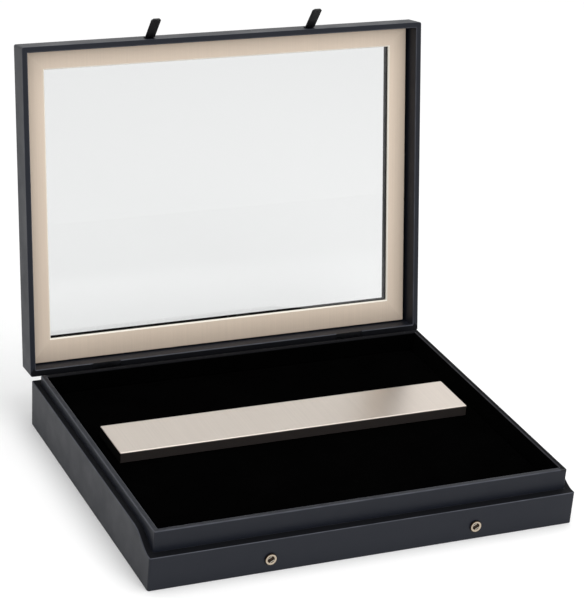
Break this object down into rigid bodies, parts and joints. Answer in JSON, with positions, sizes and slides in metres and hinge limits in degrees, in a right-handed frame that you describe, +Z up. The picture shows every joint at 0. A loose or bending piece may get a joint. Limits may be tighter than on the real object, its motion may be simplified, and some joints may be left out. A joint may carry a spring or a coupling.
{
  "type": "knife display case",
  "caption": "Shallow leatherette display case with velvet tray, raised satin bar and a hinged, glazed lid that leans back open on stop hinges.",
  "frame": {"origin": "centre of the base's underside, on the surface that the case stands on", "axes": "+Z up; +X along the case, to the right seen from the front; -Y towards the front, away from the hinges"},
  "size_m": [0.42, 0.4129, 0.3831],
  "materials": {
    "leatherette": "fine-grained charcoal leatherette, satin",
    "liner_leatherette": "fine-grained charcoal leatherette, satin",
    "strap_leather": "black leatherette strap",
    "backing_board": "raw fibreboard",
    "dark_board": "board in dark brown paper",
    "felt": "thin pressed felt",
    "velvet": "short-pile black velvet",
    "satin": "champagne satin over card",
    "glass": "clear float glass",
    "hinge_plate": "pale antique plated brass",
    "hinge_steel": "nickel-plated steel",
    "snap_metal": "pale antique plated brass"
  },
  "bodies": {
    "base": {"bar_core": "dark_board", "bar_cover": "satin", "base_board": "backing_board", "base_front_wall": "leatherette", "base_hinge_screws": "hinge_steel", "base_left_wall": "leatherette", "base_rear_wall": "leatherette", "base_right_wall": "leatherette", "hinge_base_leaf_left": "hinge_plate", "hinge_base_leaf_right": "hinge_plate", "hinge_pin_left": "hinge_steel", "hinge_pin_right": "hinge_steel", "snap_posts": "snap_metal", "snap_sockets": "snap_metal", "snap_springs": "snap_metal", "tray_liner_front": "liner_leatherette", "tray_liner_left": "liner_leatherette", "tray_liner_rear": "liner_leatherette", "tray_liner_right": "liner_leatherette", "underside_felt": "felt", "velvet_bed": "velvet", "velvet_lining_front": "velvet", "velvet_lining_left": "velvet", "velvet_lining_rear": "velvet", "velvet_lining_right": "velvet"},
    "lid": {"glass_pane": "glass", "hinge_lid_leaf_left": "hinge_plate", "hinge_lid_leaf_right": "hinge_plate", "lid_front_wall": "leatherette", "lid_hinge_screws": "hinge_steel", "lid_left_wall": "leatherette", "lid_rear_wall": "leatherette", "lid_right_wall": "leatherette", "lid_top_panel": "leatherette", "mat": "satin", "packing_strip_front": "dark_board", "packing_strip_left": "dark_board", "packing_strip_rear": "dark_board", "packing_strip_right": "dark_board", "tab_root_left": "strap_leather", "tab_root_right": "strap_leather"},
    "tab_left": {"pull_tab_left": "strap_leather"},
    "tab_right": {"pull_tab_right": "strap_leather"}
  },
  "joints": [
    {"name": "lid_hinge", "type": "hinge", "parent": "base", "child": "lid", "pos_m": [0, 0.162, 0.04465], "axis": [1, 0, 0], "range_deg": [0, 101.4]},
    {"name": "tab_left_crease", "type": "hinge", "parent": "lid", "child": "tab_left", "pos_m": [-0.0785, 0.23384, 0.35972], "axis": [1, 0, 0], "range_deg": [-60, 47], "stiffness_Nm_per_rad": 0.003},
    {"name": "tab_right_crease", "type": "hinge", "parent": "lid", "child": "tab_right", "pos_m": [0.0905, 0.23384, 0.35972], "axis": [1, 0, 0], "range_deg": [-60, 47], "stiffness_Nm_per_rad": 0.003}
  ]
}
